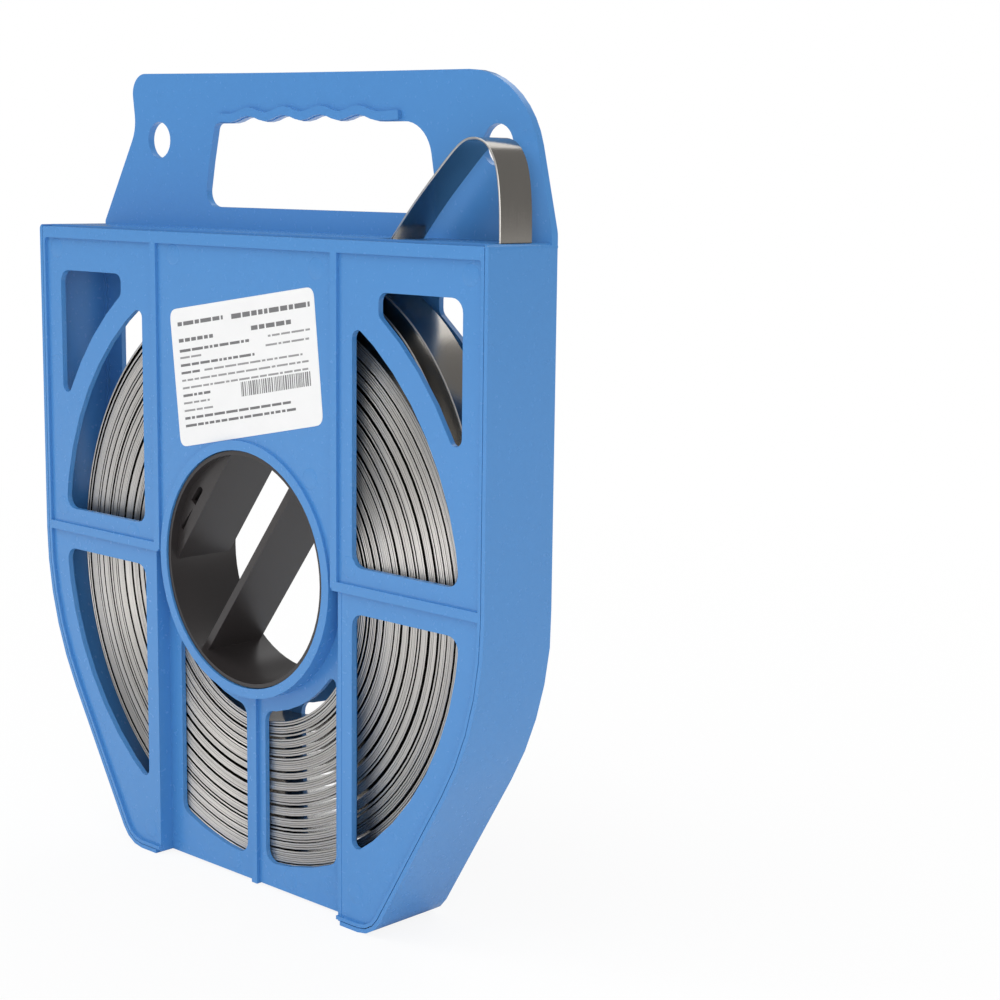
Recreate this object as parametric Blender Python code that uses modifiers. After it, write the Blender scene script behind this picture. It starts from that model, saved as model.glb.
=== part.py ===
"""A coil of stainless steel banding strap in its flat plastic carrier with a carrying handle.

Metres, +Z up. The carrier stands on its two feet on Z = 0, its front faces -Y, and the
origin is under its middle. Outlines are drawn as seen from the front, in X and Z.
"""
import math

import bpy
import bmesh

# Case
CASE_HALF_WIDTH = 0.128
CASE_DEPTH = 0.0345
FOOT_FLAT = 0.0015
TOP_FLAT = 0.0015
FLANK_ANGLE = math.radians(31)
TOP_CORNER_RADIUS = 0.0020
FOOT_CORNER_RADIUS = 0.014
LEAST_CORNER_RADIUS = 0.0010
WALL = 0.0016
TRAY_RISE = 0.0008
PANEL_THICKNESS = 0.0022
PANEL_SINK = 0.0012
RIM_WIDTH = 0.0033
RIM_TOP_HEIGHT = 0.0045
RIM_DEPTH = 0.0042
RIB_WIDTH = 0.0035
FLOOR_THICKNESS = 0.0020
FLOOR_LIFT = 0.0010
RIB_INSET = 0.00145
MID_RIB_HEIGHT = 0.0018
RECESS_ROOM = 0.0040
RECESS_WALL = 0.0018
RECESS_WALL_RISE = 0.00015
SILL_HEIGHT = 0.0080
CENTRE_RIB_WIDTH = 0.0032
CENTRE_RIB_RISE = 0.0014
GAP = 0.0003
OVERLAP = 0.0010
CUT_CLEAR = 0.0020

# Hub
BORE_RADIUS = 0.0459
HUB_RING_WIDTH = 0.0038
CORE_WALL = 0.0015
CORE_SHOULDER = 0.0019
CORE_RECESS = 0.0008
WEB_RECESS = 0.0032
WEB_ANGLE = math.radians(53.3)
WEB_THICKNESS = 0.0030
CHORD_INSET = 0.0108
CHORD_THICKNESS = 0.0020
SEGMENT_SINK = 0.0002
SEGMENT_STEP = 0.0003
# Cuts in the core's end plate, along and across the web's line, the radius of a round third
SEGMENT_SLOT = [(-0.0030, 0.0036), (0.0050, 0.0036, 0.0012), (0.0065, 0.0062, 0.0016), (-0.0030, 0.0068)]
SEGMENT_WEDGE = [(-0.0048, 0.0040), (-0.0165, 0.0034), (-0.0165, 0.0051)]

# Windows
WINDOW_LEDGE = 0.0055
COIL_WINDOW_REACH = 0.0035
WINDOW_TIP_FILLET = 0.0030
CORNER_WINDOW_MARGIN = 0.0027
CORNER_WINDOW_SIDE = 0.0125
CORNER_WINDOW_SHORT_SIDE = 0.0082536
CORNER_WINDOW_DROP = 0.0175
CORNER_WINDOW_FILLET = 0.0035
CORNER_WINDOW_TIP = 0.0060
BAND_TOP = 0.010
BAND_BOTTOM = 0.007
WINDOW_FILLET = 0.0050
FLOOR_WINDOW_INNER = 0.0055
FLOOR_WINDOW_MARGIN = 0.0075
FLOOR_WINDOW_TOP_GAP = 0.0060
FLOOR_WINDOW_BOTTOM_REACH = 0.0045

# Handle
HANDLE_THICKNESS = 0.0030
HANDLE_RISE_LEFT = 0.0624
HANDLE_RISE_RIGHT = 0.0592
HANDLE_BOW = 0.0004
HANDLE_WAIST_INSET = 0.0245
HANDLE_WAIST_RISE = 0.0400
HANDLE_WAIST_RADIUS = 0.0160
HANDLE_INSET_LEFT = 0.0215
HANDLE_INSET_RIGHT = 0.0135
HANDLE_CORNER_LEFT = 0.0080
HANDLE_CORNER_RIGHT = 0.0340
HANDLE_HIP_RISE = 0.0040
HANDLE_HIP_RADIUS = 0.0100
HANDLE_FOOT_INSET = 0.0020
GRIP_BOTTOM_RISE = 0.0092
GRIP_TOP_RISE = 0.0430
GRIP_INSET_LEFT = 0.0690
GRIP_INSET_RIGHT = 0.0545
GRIP_LEAN_LEFT = 0.0070
GRIP_LEAN_RIGHT = 0.0060
GRIP_NECK_RISE = 0.0180
GRIP_FOOT_LEFT_RADIUS = 0.0060
GRIP_FOOT_RIGHT_RADIUS = 0.0080
GRIP_NECK_RADIUS = 0.0200
GRIP_HEAD_RADIUS = 0.0140
GRIP_CORNER_RADIUS = 0.0030
WAVE_ROOM_LEFT = 0.0115
WAVE_ROOM_RIGHT = 0.0244
WAVE_COUNT = 4
WAVE_HEIGHT = 0.0011
WAVE_BOW = 0.0004
BEAD_WIDTH = 0.0033
BEAD_RISE = 0.0017
BEAD_EDGE = 0.0003
BEAD_LEFT_RUN = 0.0080
BEAD_RIGHT_RUN = 0.0110
HANG_HOLE_RADIUS = 0.0073
HANG_HOLE_INSET_LEFT = 0.0400
HANG_HOLE_INSET_RIGHT = 0.0260
HANG_HOLE_RISE_LEFT = 0.0355
HANG_HOLE_RISE_RIGHT = 0.0335

# Strap
STRAP_WIDTH = 0.015875
STRAP_THICKNESS = 0.00076
COIL_SLACK = 0.0055
COIL_SIDE_ROOM = 0.0160
GROOVE_COUNT = 12
GROOVE_DEPTH = 0.0005
GROOVE_SLOPE = 0.93
SLOT_CLEARANCE = 0.0011
SLOT_RISE = 0.0040
SIDE_SLOT_WIDTH = 0.0050
TAIL_SLOT_INSET = 0.0505
TAIL_SLOT_LENGTH = 0.0120
# Points of the strap's end: the loose turn (degrees, distance off the coil), the last turn (from, to
# and step in degrees), where it lifts onto itself (degrees, share of a turn), then the free end (inset
# from the side wall, height over the coil's middle or over the case's top)
LOOSE_TURN = [(0, 0), (8, 0.0010), (20, 0.0070), (32, 0.01452), (45, 0.01852), (57, 0.01952),
              (70, 0.01632), (85, 0.01032), (100, 0.00452), (114, 0.00092)]
LAST_TURN = (125, 316, 10)
LAST_LIFT = [(322, 0.57), (330, 1.0), (340, 1.36)]
STRAP_LEG_LOW = [(0.0114, -0.018), (0.0072, 0.010), (0.0046, 0.045)]
STRAP_LEG_HIGH = [(0.0034, -0.040), (0.0026, -0.012)]
STRAP_LOOP = [(0.0024, 0.006), (0.0030, 0.018), (0.0050, 0.0275), (0.0092, 0.0335), (0.0154, 0.0353),
              (0.0222, 0.0328), (0.0339, 0.0222), (0.0437, 0.0125), (0.0531, 0.0020), (0.0574, -0.0030),
              (0.0624, -0.0072)]

# Measures that follow from the ones above
FRONT = -CASE_DEPTH / 2
HUB_HEIGHT = CASE_HALF_WIDTH - FOOT_FLAT
HUB_TO_TOP = CASE_HALF_WIDTH - TOP_FLAT
CASE_TOP = HUB_HEIGHT + HUB_TO_TOP
HUB_RING_RADIUS = BORE_RADIUS + HUB_RING_WIDTH
RECESS_HALF_WIDTH = HUB_RING_RADIUS + RECESS_ROOM
RECESS_OUTER = RECESS_HALF_WIDTH + RECESS_WALL
RECESS_TOP = HUB_HEIGHT + MID_RIB_HEIGHT - RIB_WIDTH / 2
RIB_OFFSET = RECESS_HALF_WIDTH - RIB_INSET
WINDOW_INNER = RECESS_OUTER + WINDOW_LEDGE
FLOOR_WINDOW_OUTER = RECESS_HALF_WIDTH - FLOOR_WINDOW_MARGIN
FLOOR_INNER = STRAP_WIDTH / 2 + GAP
FLOOR_OUTER = FLOOR_INNER + FLOOR_THICKNESS
JOURNAL_RADIUS = BORE_RADIUS - GAP
DRUM_RADIUS = JOURNAL_RADIUS + CORE_SHOULDER
CHORD_OFFSET = JOURNAL_RADIUS - CHORD_INSET
COIL_INNER_RADIUS = DRUM_RADIUS + COIL_SLACK
COIL_OUTER_RADIUS = CASE_HALF_WIDTH - COIL_SIDE_ROOM
COIL_DROP = COIL_INNER_RADIUS - DRUM_RADIUS - GAP
COIL_CENTRE = HUB_HEIGHT - COIL_DROP
COVER_INSET = WALL + GAP
COIL_WINDOW_RADIUS = COIL_OUTER_RADIUS + COIL_WINDOW_REACH
CORNER_WINDOW_RADIUS = CASE_HALF_WIDTH - CORNER_WINDOW_MARGIN
CORNER_WINDOW_OUTER = CASE_HALF_WIDTH - CORNER_WINDOW_SIDE
CORNER_WINDOW_TOP = HUB_TO_TOP - CORNER_WINDOW_DROP
CORNER_WINDOW_INNER = math.sqrt(CORNER_WINDOW_RADIUS ** 2 - (CORNER_WINDOW_TOP - CORNER_WINDOW_SHORT_SIDE) ** 2)
FLOOR_WINDOW_TOP_RADIUS = HUB_RING_RADIUS + FLOOR_WINDOW_TOP_GAP
FLOOR_WINDOW_BOTTOM_RADIUS = COIL_OUTER_RADIUS + FLOOR_WINDOW_BOTTOM_REACH
GRIP_TOP = CASE_TOP + GRIP_TOP_RISE
HANDLE_WAIST = CASE_HALF_WIDTH - HANDLE_WAIST_INSET
HANDLE_HEAD_LEFT = CASE_HALF_WIDTH - HANDLE_INSET_LEFT
HANDLE_HEAD_RIGHT = CASE_HALF_WIDTH - HANDLE_INSET_RIGHT
GRIP_LEFT = GRIP_INSET_LEFT - CASE_HALF_WIDTH
GRIP_RIGHT = CASE_HALF_WIDTH - GRIP_INSET_RIGHT
GRIP_TOP_LEFT = GRIP_LEFT + GRIP_LEAN_LEFT
GRIP_TOP_RIGHT = GRIP_RIGHT - GRIP_LEAN_RIGHT
WAVE_START = GRIP_TOP_LEFT + WAVE_ROOM_LEFT
WAVE_PITCH = (GRIP_TOP_RIGHT - WAVE_ROOM_RIGHT - WAVE_START) / WAVE_COUNT
HANG_HOLES = [(HANG_HOLE_INSET_LEFT - CASE_HALF_WIDTH, CASE_TOP + HANG_HOLE_RISE_LEFT),
              (CASE_HALF_WIDTH - HANG_HOLE_INSET_RIGHT, CASE_TOP + HANG_HOLE_RISE_RIGHT)]
TAIL_SLOT_RIGHT = CASE_HALF_WIDTH - TAIL_SLOT_INSET
TAIL_SLOT_LEFT = TAIL_SLOT_RIGHT - TAIL_SLOT_LENGTH
ARC_STEP = math.radians(7.5)
FILLET_STEP = math.radians(20)
FINE_STEP = math.radians(9)
ROUND_STEPS = 64
HANG_HOLE_STEPS = 32
ROUTE_STEPS = 3
SHARP_ANGLE = math.radians(35)
WELD = 0.000002
SLIVER = 0.000001
FLAT_ANGLE = 0.002

BLUE = (0.075, 0.262, 0.590, 1.0)
BLACK = (0.022, 0.020, 0.021, 1.0)
STEEL = (0.560, 0.550, 0.540, 1.0)


def clear_scene():
    for item in list(bpy.data.objects):
        bpy.data.objects.remove(item, do_unlink=True)


def make_collection(name):
    collection = bpy.data.collections.new(name)
    bpy.context.scene.collection.children.link(collection)
    return collection


def make_material(name, colour, roughness, metallic):
    material = bpy.data.materials.new(name)
    material.use_nodes = True
    shader = material.node_tree.nodes["Principled BSDF"]
    shader.inputs["Base Color"].default_value = colour
    shader.inputs["Roughness"].default_value = roughness
    shader.inputs["Metallic"].default_value = metallic
    material.diffuse_color = colour
    return material


def arc(centre, radius, start, end):
    """Points of an arc about centre, from the angle start to the angle end."""
    steps = max(2, math.ceil(abs(end - start) / ARC_STEP))
    points = []
    for i in range(steps + 1):
        angle = start + (end - start) * i / steps
        points.append((centre[0] + radius * math.cos(angle), centre[1] + radius * math.sin(angle)))
    return points


def filleted(corners, step=FILLET_STEP):
    """An outline of corners (x, z) or (x, z, radius), with a round where a radius is given."""
    points = []
    count = len(corners)
    for i, corner in enumerate(corners):
        if len(corner) == 2 or corner[2] <= 0:
            points.append(corner[:2])
            continue
        x, z, radius = corner
        before = corners[i - 1]
        after = corners[(i + 1) % count]
        ux, uz = before[0] - x, before[1] - z
        vx, vz = after[0] - x, after[1] - z
        u_length = math.hypot(ux, uz)
        v_length = math.hypot(vx, vz)
        ux, uz, vx, vz = ux / u_length, uz / u_length, vx / v_length, vz / v_length
        half = math.acos(max(-1.0, min(1.0, ux * vx + uz * vz))) / 2
        reach = min(radius / math.tan(half), 0.98 * u_length, 0.98 * v_length)
        radius = reach * math.tan(half)
        mx, mz = ux + vx, uz + vz
        middle = math.hypot(mx, mz)
        distance = radius / math.sin(half)
        centre = (x + mx / middle * distance, z + mz / middle * distance)
        start = math.atan2(z + uz * reach - centre[1], x + ux * reach - centre[0])
        end = math.atan2(z + vz * reach - centre[1], x + vx * reach - centre[0])
        turn = (end - start + math.pi) % (2 * math.pi) - math.pi
        steps = max(2, math.ceil(abs(turn) / step))
        for k in range(steps + 1):
            angle = start + turn * k / steps
            points.append((centre[0] + radius * math.cos(angle), centre[1] + radius * math.sin(angle)))
    return points


def mirrored(points):
    """The same outline on the other side of X = 0."""
    return [(-point[0],) + tuple(point[1:]) for point in reversed(points)]


def hub_point(x, z):
    return (x, HUB_HEIGHT + z)


def circle(centre, radius, steps=48):
    points = []
    for i in range(steps):
        angle = 2 * math.pi * i / steps
        points.append((centre[0] + radius * math.cos(angle), centre[1] + radius * math.sin(angle)))
    return points


def case_outline(inset, top_drop):
    """The case seen from the front, drawn in by inset at its sides and by top_drop at its top."""
    half_width = CASE_HALF_WIDTH - inset
    top = CASE_TOP - top_drop
    flank_x = half_width * math.cos(FLANK_ANGLE)
    flank_z = HUB_HEIGHT - half_width * math.sin(FLANK_ANGLE)
    corner_x = flank_x - (flank_z - inset) * math.tan(FLANK_ANGLE)
    right = [(half_width, top, max(TOP_CORNER_RADIUS - inset, LEAST_CORNER_RADIUS))]
    right += arc((0, HUB_HEIGHT), half_width, 0, -FLANK_ANGLE)
    right.append((corner_x, inset, max(FOOT_CORNER_RADIUS - inset, LEAST_CORNER_RADIUS)))
    return filleted(right + mirrored(right))


def coil_window(upper):
    """The right window over the coil, above or below the middle band."""
    near = BAND_TOP if upper else BAND_BOTTOM
    sign = 1 if upper else -1
    start = math.asin(near / COIL_WINDOW_RADIUS)
    end = math.acos(WINDOW_INNER / COIL_WINDOW_RADIUS)
    outer = arc((0, 0), COIL_WINDOW_RADIUS, start, end)
    corners = [(WINDOW_INNER, near, WINDOW_FILLET), outer[0] + (WINDOW_FILLET,)]
    corners += outer[1:-1]
    corners.append(outer[-1] + (WINDOW_TIP_FILLET,))
    return filleted([hub_point(c[0], sign * c[1]) + tuple(c[2:]) for c in corners])


def corner_window():
    """The right window in the upper corner, outside the coil."""
    start = math.acos(CORNER_WINDOW_OUTER / CORNER_WINDOW_RADIUS)
    end = math.acos(CORNER_WINDOW_INNER / CORNER_WINDOW_RADIUS)
    inner = arc((0, 0), CORNER_WINDOW_RADIUS, start, end)
    corners = [(CORNER_WINDOW_INNER, CORNER_WINDOW_TOP, CORNER_WINDOW_FILLET)]
    corners.append((CORNER_WINDOW_OUTER, CORNER_WINDOW_TOP, WINDOW_FILLET))
    corners.append(inner[0] + (CORNER_WINDOW_TIP,))
    corners += inner[1:-1]
    corners.append(inner[-1] + (CORNER_WINDOW_FILLET,))
    return filleted([hub_point(c[0], c[1]) + tuple(c[2:]) for c in corners])


def floor_window():
    """The right window in the sunk floor under the hub."""
    top = arc((0, 0), FLOOR_WINDOW_TOP_RADIUS, -math.acos(FLOOR_WINDOW_INNER / FLOOR_WINDOW_TOP_RADIUS),
              -math.acos(FLOOR_WINDOW_OUTER / FLOOR_WINDOW_TOP_RADIUS))
    bottom = arc((0, 0), FLOOR_WINDOW_BOTTOM_RADIUS,
                 -math.acos(FLOOR_WINDOW_OUTER / FLOOR_WINDOW_BOTTOM_RADIUS),
                 -math.acos(FLOOR_WINDOW_INNER / FLOOR_WINDOW_BOTTOM_RADIUS))
    corners = [top[0] + (WINDOW_FILLET,)] + top[1:-1] + [top[-1] + (WINDOW_FILLET,)]
    corners += [bottom[0] + (WINDOW_FILLET,)] + bottom[1:-1] + [bottom[-1] + (WINDOW_FILLET,)]
    return filleted([hub_point(c[0], c[1]) + tuple(c[2:]) for c in corners])


def panel_windows():
    windows = []
    for window in (corner_window(), coil_window(True), coil_window(False)):
        windows += [window, mirrored(window)]
    return windows


def plate(name, loops, y_front, y_back, collection):
    """A flat plate: loops of (x, z) points, the first its outline and the rest holes."""
    curve = bpy.data.curves.new(name, "CURVE")
    curve.dimensions = "2D"
    curve.fill_mode = "BOTH"
    curve.extrude = (y_back - y_front) / 2
    for loop in loops:
        spline = curve.splines.new("POLY")
        spline.points.add(len(loop) - 1)
        for point, (x, z) in zip(spline.points, loop):
            point.co = (x, z, 0, 1)
        spline.use_cyclic_u = True
    guide = bpy.data.objects.new(name, curve)
    collection.objects.link(guide)
    item = to_mesh(guide, collection)
    for corner in item.data.vertices:
        x, z, depth = corner.co
        corner.co = (x, y_back if depth > 0 else y_front, z)
    item.data.flip_normals()
    return item


def to_mesh(guide, collection):
    """The welded mesh of a curve or of an object with modifiers, in the same place."""
    bpy.context.view_layer.update()
    evaluated = guide.evaluated_get(bpy.context.evaluated_depsgraph_get())
    mesh = bpy.data.meshes.new_from_object(evaluated)
    mesh.transform(guide.matrix_world)
    name = guide.name
    bpy.data.objects.remove(guide, do_unlink=True)
    shell = bmesh.new()
    shell.from_mesh(mesh)
    bmesh.ops.remove_doubles(shell, verts=shell.verts, dist=WELD)
    bmesh.ops.dissolve_degenerate(shell, edges=shell.edges, dist=SLIVER)
    bmesh.ops.dissolve_limit(shell, angle_limit=FLAT_ANGLE, verts=shell.verts, edges=shell.edges)
    bmesh.ops.triangulate(shell, faces=shell.faces)
    bmesh.ops.recalc_face_normals(shell, faces=shell.faces)
    shell.to_mesh(mesh)
    shell.free()
    item = bpy.data.objects.new(name, mesh)
    item.data.name = name
    collection.objects.link(item)
    return item


def block(name, x, y, z, collection):
    """A box between two values on each axis."""
    loop = [(x[0], z[0]), (x[1], z[0]), (x[1], z[1]), (x[0], z[1])]
    return plate(name, [loop], y[0], y[1], collection)


def combine(target, tool, operation, collection):
    """Join tool to target, or cut it away, and drop the tool."""
    modifier = target.modifiers.new(operation.lower(), "BOOLEAN")
    modifier.operation = operation
    modifier.object = tool
    result = to_mesh(target, collection)
    bpy.data.objects.remove(tool, do_unlink=True)
    return result


def join_all(target, tools, collection):
    for tool in tools:
        target = combine(target, tool, "UNION", collection)
    return target


def side_range(side, depth_a, depth_b):
    """Two depths measured from the middle plane, as Y values on the front (-1) or back (1) side."""
    return tuple(sorted((side * depth_a, side * depth_b)))


def panel(name, side, inset, rim_inset, collection):
    """One broad face of the case: panel, windows, rim, ribs, hub ring and the sunk floor."""
    crest = -FRONT
    face = crest - PANEL_SINK
    inner = face - PANEL_THICKNESS
    foot = FLOOR_LIFT
    hub = (0, HUB_HEIGHT)
    outer = case_outline(inset, inset if side > 0 else 0)
    wall_x = RECESS_HALF_WIDTH + RECESS_WALL / 2
    wall_z = RECESS_TOP + RECESS_WALL / 2
    shoulder = math.asin((wall_z - HUB_HEIGHT) / (HUB_RING_RADIUS - CUT_CLEAR))
    arch = [(wall_x, SILL_HEIGHT), (wall_x, wall_z)]
    arch += arc(hub, HUB_RING_RADIUS - CUT_CLEAR, shoulder, math.pi - shoulder)
    arch += mirrored(arch[:2])
    body = plate(name, [outer, arch] + panel_windows(), *side_range(side, inner, face), collection)
    rim_y = side_range(side, crest - RIM_DEPTH, crest)
    rim = plate("rim", [case_outline(rim_inset, 0), case_outline(RIM_WIDTH, RIM_TOP_HEIGHT)], *rim_y, collection)
    ring = plate("hub_ring", [circle(hub, HUB_RING_RADIUS), circle(hub, BORE_RADIUS, ROUND_STEPS)],
                 *side_range(side, FLOOR_INNER, crest), collection)
    body = join_all(body, [rim, ring], collection)
    mouth = block("mouth", (-RECESS_HALF_WIDTH, RECESS_HALF_WIDTH),
                  side_range(side, FLOOR_INNER - CUT_CLEAR, crest + CUT_CLEAR),
                  (-CUT_CLEAR, HUB_HEIGHT - HUB_RING_RADIUS - 2 * CUT_CLEAR), collection)
    body = combine(body, mouth, "DIFFERENCE", collection)
    floor_loop = [(wall_x, foot), (wall_x, wall_z + OVERLAP / 2)]
    floor_loop += arc(hub, HUB_RING_RADIUS - CUT_CLEAR, shoulder / 2, -math.pi - shoulder / 2)
    floor_loop += mirrored(floor_loop[:2])
    pieces = [plate("floor", [floor_loop, floor_window(), mirrored(floor_window())],
                    *side_range(side, FLOOR_INNER, FLOOR_OUTER), collection)]
    rib_y = side_range(side, inner + OVERLAP, crest)
    wall_y = side_range(side, FLOOR_INNER, face + RECESS_WALL_RISE)
    rib_top = CASE_TOP - RIM_TOP_HEIGHT + OVERLAP
    for sign in (-1, 1):
        wall = [(sign * RECESS_HALF_WIDTH, foot), (sign * RECESS_HALF_WIDTH, RECESS_TOP),
                (sign * (HUB_RING_RADIUS - OVERLAP), RECESS_TOP),
                (sign * (HUB_RING_RADIUS - OVERLAP), RECESS_TOP + RECESS_WALL),
                (sign * RECESS_OUTER, RECESS_TOP + RECESS_WALL), (sign * RECESS_OUTER, foot)]
        pieces.append(plate("recess_wall", [wall], *wall_y, collection))
        rib_x = sorted((sign * (RIB_OFFSET - RIB_WIDTH / 2), sign * (RIB_OFFSET + RIB_WIDTH / 2)))
        pieces.append(block("upper_rib", rib_x, rib_y, (RECESS_TOP + OVERLAP, rib_top), collection))
        rib_x = sorted((sign * (RIB_OFFSET - RIB_WIDTH / 2 + OVERLAP),
                        sign * (CASE_HALF_WIDTH - RIM_WIDTH + OVERLAP)))
        pieces.append(block("mid_rib", rib_x, rib_y, (RECESS_TOP, RECESS_TOP + RIB_WIDTH), collection))
    half_rib = CENTRE_RIB_WIDTH / 2
    pieces.append(block("centre_rib", (-half_rib, half_rib),
                        side_range(side, FLOOR_INNER + OVERLAP / 2, FLOOR_OUTER + CENTRE_RIB_RISE),
                        (foot / 2, HUB_HEIGHT - HUB_RING_RADIUS + CUT_CLEAR), collection))
    return join_all(body, pieces, collection)


def grip_wave(rise, steps_each=6):
    """The finger hollows over the grip hole, from left to right."""
    points = []
    steps = WAVE_COUNT * steps_each
    for i in range(steps + 1):
        x = WAVE_START + WAVE_PITCH * WAVE_COUNT * i / steps
        swing = math.cos(2 * math.pi * i * WAVE_COUNT / steps)
        bow = WAVE_BOW * math.sin(math.pi * i / steps)
        points.append((x, GRIP_TOP + rise + bow - WAVE_HEIGHT * swing))
    return points


def bead_line(rise):
    """The line of the bead along the finger hollows, with its straight ends."""
    wave = grip_wave(rise)
    before = (wave[0][0] - BEAD_LEFT_RUN, wave[0][1] + BEAD_EDGE)
    after = (wave[-1][0] + BEAD_RIGHT_RUN, wave[-1][1] + BEAD_EDGE)
    return [before] + wave + [after]


def handle_top(steps=6):
    """The slightly hollow top edge of the handle, from left to right."""
    points = []
    for i in range(1, steps):
        t = i / steps
        x = -HANDLE_HEAD_LEFT + (HANDLE_HEAD_LEFT + HANDLE_HEAD_RIGHT) * t
        rise = HANDLE_RISE_LEFT + (HANDLE_RISE_RIGHT - HANDLE_RISE_LEFT) * t
        points.append((x, CASE_TOP + rise - HANDLE_BOW * math.sin(math.pi * t)))
    return points


def handle(collection):
    back = -FRONT
    seat = CASE_TOP - RIM_TOP_HEIGHT + OVERLAP
    left_foot = -CASE_HALF_WIDTH + HANDLE_FOOT_INSET
    right_foot = CASE_HALF_WIDTH - GAP
    head = handle_top()
    outline = filleted([
        (left_foot, seat),
        (left_foot, CASE_TOP + HANDLE_FOOT_INSET, LEAST_CORNER_RADIUS),
        (-HANDLE_WAIST, CASE_TOP + HANDLE_WAIST_RISE, HANDLE_WAIST_RADIUS),
        (-HANDLE_HEAD_LEFT, CASE_TOP + HANDLE_RISE_LEFT, HANDLE_CORNER_LEFT),
    ] + head[:-1] + [
        (HANDLE_HEAD_RIGHT, CASE_TOP + HANDLE_RISE_RIGHT, HANDLE_CORNER_RIGHT),
        (right_foot, CASE_TOP + HANDLE_HIP_RISE, HANDLE_HIP_RADIUS),
        (right_foot, seat),
    ], FINE_STEP)
    hole = filleted([
        (GRIP_LEFT, CASE_TOP + GRIP_BOTTOM_RISE, GRIP_FOOT_LEFT_RADIUS),
        (GRIP_RIGHT, CASE_TOP + GRIP_BOTTOM_RISE, GRIP_FOOT_RIGHT_RADIUS),
        (GRIP_TOP_RIGHT, GRIP_TOP - WAVE_HEIGHT, GRIP_HEAD_RADIUS),
    ] + list(reversed(grip_wave(0))) + [
        (GRIP_TOP_LEFT, GRIP_TOP - WAVE_HEIGHT, GRIP_CORNER_RADIUS),
        ((GRIP_LEFT + GRIP_TOP_LEFT) / 2, CASE_TOP + GRIP_BOTTOM_RISE + GRIP_NECK_RISE, GRIP_NECK_RADIUS),
    ], FINE_STEP)
    loops = [outline, hole]
    for centre in HANG_HOLES:
        loops.append(circle(centre, HANG_HOLE_RADIUS, HANG_HOLE_STEPS))
    sheet = plate("handle", loops, back - HANDLE_THICKNESS, back, collection)
    strip = bead_line(BEAD_EDGE) + list(reversed(bead_line(BEAD_EDGE + BEAD_WIDTH)))
    bead = plate("bead", [strip], back - HANDLE_THICKNESS - BEAD_RISE, back - OVERLAP, collection)
    return combine(sheet, bead, "UNION", collection)


def build_carrier_front(collection, scrap):
    front = panel("carrier_front", -1, COVER_INSET, COVER_INSET, scrap)
    return settle(front, "carrier_front", collection)


def build_carrier_back(collection, scrap):
    """The tray: back face, side walls, strap slots and the handle."""
    body = panel("carrier_back", 1, WALL / 2, 0, scrap)
    walls = plate("walls", [case_outline(0, -TRAY_RISE), case_outline(WALL, WALL)], FRONT, -FRONT, scrap)
    lip = FRONT + RIM_DEPTH + GAP
    inner_x = CASE_HALF_WIDTH - WALL
    cover_seat = block("cover_seat", (-inner_x, inner_x), (FRONT - CUT_CLEAR, lip),
                       (CASE_TOP - RIM_TOP_HEIGHT, CASE_TOP + CUT_CLEAR), scrap)
    walls = combine(walls, cover_seat, "DIFFERENCE", scrap)
    mouth_x = RECESS_OUTER + GAP
    mouth_z = (-CUT_CLEAR, WALL + 2 * CUT_CLEAR)
    front_mouth = block("front_mouth", (-mouth_x, mouth_x), (FRONT - CUT_CLEAR, -FLOOR_INNER + GAP), mouth_z, scrap)
    walls = combine(walls, front_mouth, "DIFFERENCE", scrap)
    back_mouth = block("back_mouth", (-RECESS_HALF_WIDTH, RECESS_HALF_WIDTH),
                       (FLOOR_OUTER - OVERLAP / 2, -FRONT + CUT_CLEAR), mouth_z, scrap)
    walls = combine(walls, back_mouth, "DIFFERENCE", scrap)
    body = join_all(body, [walls, handle(scrap)], scrap)
    slot_y = STRAP_WIDTH / 2 + SLOT_CLEARANCE
    slot_z = (CASE_TOP - RIM_TOP_HEIGHT - CUT_CLEAR, CASE_TOP + SLOT_RISE)
    side_slot = block("side_slot", (inner_x - SIDE_SLOT_WIDTH, inner_x), (-slot_y, slot_y), slot_z, scrap)
    tail_slot = block("tail_slot", (TAIL_SLOT_LEFT, TAIL_SLOT_RIGHT), (-slot_y, slot_y), slot_z, scrap)
    body = combine(body, side_slot, "DIFFERENCE", scrap)
    body = combine(body, tail_slot, "DIFFERENCE", scrap)
    return settle(body, "carrier_back", collection)


def turned(name, profile, collection):
    """A closed profile of (radius, height) turned about the Y axis through the hub."""
    mesh = bpy.data.meshes.new(name)
    shell = bmesh.new()
    corners = [shell.verts.new((radius, 0, height)) for radius, height in profile]
    for a, b in zip(corners, corners[1:] + corners[:1]):
        shell.edges.new((a, b))
    shell.to_mesh(mesh)
    shell.free()
    item = bpy.data.objects.new(name, mesh)
    collection.objects.link(item)
    item.rotation_euler = (math.radians(90), 0, 0)
    screw = item.modifiers.new("turn", "SCREW")
    screw.axis = "Z"
    screw.angle = 2 * math.pi
    screw.steps = ROUND_STEPS
    screw.render_steps = ROUND_STEPS
    screw.use_merge_vertices = True
    screw.merge_threshold = 5 * WELD
    return item


def web_plate(name, offset, thickness, seat, half_depth, collection):
    """A flat web across the core, parallel to the web's line, its ends on the radius seat."""
    low, high = offset - thickness / 2, offset + thickness / 2
    near = math.sqrt(seat * seat - low * low)
    far = math.sqrt(seat * seat - high * high)
    loop = [along_web(-near, low), along_web(near, low), along_web(far, high), along_web(-far, high)]
    return plate(name, [loop], -half_depth, half_depth, collection)


def along_web(along, across):
    """A point on the core, along the web's line and across it to the upper left."""
    x = math.cos(WEB_ANGLE) * along - math.sin(WEB_ANGLE) * across
    z = math.sin(WEB_ANGLE) * along + math.cos(WEB_ANGLE) * across
    return hub_point(x, z)


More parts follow.
